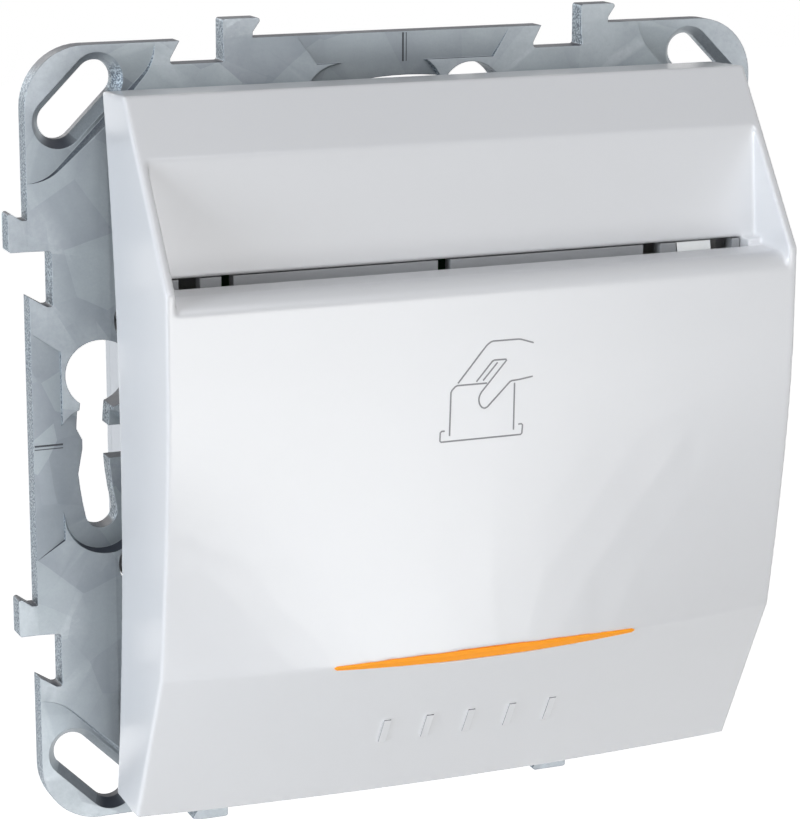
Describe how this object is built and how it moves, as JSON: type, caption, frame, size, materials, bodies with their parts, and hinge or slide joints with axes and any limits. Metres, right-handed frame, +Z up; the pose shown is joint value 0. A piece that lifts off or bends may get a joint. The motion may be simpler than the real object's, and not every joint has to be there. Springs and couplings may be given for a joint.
{
  "type": "hotel key card switch",
  "caption": "Card holder switch on a square ganging support frame: a card pushed into the sloped slot rocks a lever that closes the contacts.",
  "frame": {"origin": "centre of the support frame's back, on the wall plane", "axes": "+X right seen from the front, front faces -Y, +Z up"},
  "size_m": [0.0742, 0.0443, 0.0742],
  "materials": {
    "galvanised_steel": "galvanised with soft spangles",
    "white_cover": "polished white",
    "amber_lens": "tinted amber",
    "clear_guide": "clear moulded light guide",
    "white_chassis": "white, satin",
    "screw_steel": "zinc plated",
    "dark_plastic": "dark grey, fine grain",
    "spring_steel": "drawn",
    "brass": "plain brass",
    "switch_black": "black",
    "board_green": "solder mask",
    "lamp_amber": "diffused",
    "resistor_beige": "lacquered",
    "can_blue": "sleeved can",
    "film_red": "moulded box",
    "relay_blue": "moulded case",
    "grey_housing": "grey, fine grain",
    "lever_white": "acetal",
    "plunger_red": "acetal",
    "terminal_steel": "yellow passivated"
  },
  "bodies": {
    "base": {"support_frame": "galvanised_steel", "front_cover": "white_cover", "indicator_lens": "amber_lens", "light_guide": "clear_guide", "chassis": "white_chassis", "chassis_screws": "screw_steel", "card_guide": "dark_plastic", "guide_screws": "screw_steel", "card_retainer": "dark_plastic", "card_leaf_spring": "spring_steel", "leaf_rivet": "brass", "lever_pin": "screw_steel", "lever_return_spring": "spring_steel", "microswitch_case": "switch_black", "microswitch_lid": "switch_black", "blade_support": "brass", "fixed_contact": "brass", "circuit_board": "board_green", "board_screws": "screw_steel", "pilot_lamp": "lamp_amber", "resistors": "resistor_beige", "smoothing_capacitor": "can_blue", "film_capacitor": "film_red", "power_relay": "relay_blue", "rear_housing": "grey_housing", "rear_cover": "grey_housing", "housing_screws": "screw_steel", "terminal_strip_1": "brass", "terminal_strip_2": "brass", "terminal_strip_3": "brass", "terminal_strip_4": "brass"},
    "lever": {"card_lever": "lever_white"},
    "plunger": {"switch_plunger": "plunger_red"},
    "blade": {"contact_blade": "brass"},
    "screw_1": {"terminal_screw_1": "screw_steel"},
    "cage_1": {"terminal_cage_1": "terminal_steel"},
    "screw_2": {"terminal_screw_2": "screw_steel"},
    "cage_2": {"terminal_cage_2": "terminal_steel"},
    "screw_3": {"terminal_screw_3": "screw_steel"},
    "cage_3": {"terminal_cage_3": "terminal_steel"},
    "screw_4": {"terminal_screw_4": "screw_steel"},
    "cage_4": {"terminal_cage_4": "terminal_steel"}
  },
  "joints": [
    {"name": "card_lever_rock", "type": "hinge", "parent": "base", "child": "lever", "pos_m": [0, -0.0134, 0.0035], "axis": [1, 0, 0], "range_deg": [0, 6], "stiffness_Nm_per_rad": 0.0005, "springref_deg": -11.46, "deforming": ["lever_return_spring"]},
    {"name": "plunger_press", "type": "slide", "parent": "base", "child": "plunger", "axis": [0, 1, 0], "range_m": [0, 0.000524]},
    {"name": "blade_swing", "type": "hinge", "parent": "base", "child": "blade", "pos_m": [-0.0046, -0.00978, -0.0015], "axis": [0, 0, 1], "range_deg": [0, 6.53]},
    {"name": "screw_turn_1", "type": "hinge", "parent": "base", "child": "screw_1", "pos_m": [-0.01, 0.0135, 0.02], "axis": [0, 0, -1], "range_deg": [0, 1440]},
    {"name": "cage_rise_1", "type": "slide", "parent": "base", "child": "cage_1", "axis": [0, 0, 1], "range_m": [0, 0.002]},
    {"name": "screw_turn_2", "type": "hinge", "parent": "base", "child": "screw_2", "pos_m": [0.01, 0.0135, 0.02], "axis": [0, 0, -1], "range_deg": [0, 1440]},
    {"name": "cage_rise_2", "type": "slide", "parent": "base", "child": "cage_2", "axis": [0, 0, 1], "range_m": [0, 0.002]},
    {"name": "screw_turn_3", "type": "hinge", "parent": "base", "child": "screw_3", "pos_m": [-0.01, 0.0135, -0.02], "axis": [0, 0, 1], "range_deg": [0, 1440]},
    {"name": "cage_rise_3", "type": "slide", "parent": "base", "child": "cage_3", "axis": [0, 0, -1], "range_m": [0, 0.002]},
    {"name": "screw_turn_4", "type": "hinge", "parent": "base", "child": "screw_4", "pos_m": [0.01, 0.0135, -0.02], "axis": [0, 0, 1], "range_deg": [0, 1440]},
    {"name": "cage_rise_4", "type": "slide", "parent": "base", "child": "cage_4", "axis": [0, 0, -1], "range_m": [0, 0.002]}
  ],
  "couplings": [
    {"joint": "plunger_press", "follows": "card_lever_rock", "m_per_rad": 0.005},
    {"joint": "blade_swing", "follows": "card_lever_rock", "ratio": 1.087},
    {"joint": "screw_turn_1", "follows": "cage_rise_1", "rad_per_m": 12566},
    {"joint": "screw_turn_2", "follows": "cage_rise_2", "rad_per_m": 12566},
    {"joint": "screw_turn_3", "follows": "cage_rise_3", "rad_per_m": 12566},
    {"joint": "screw_turn_4", "follows": "cage_rise_4", "rad_per_m": 12566}
  ]
}
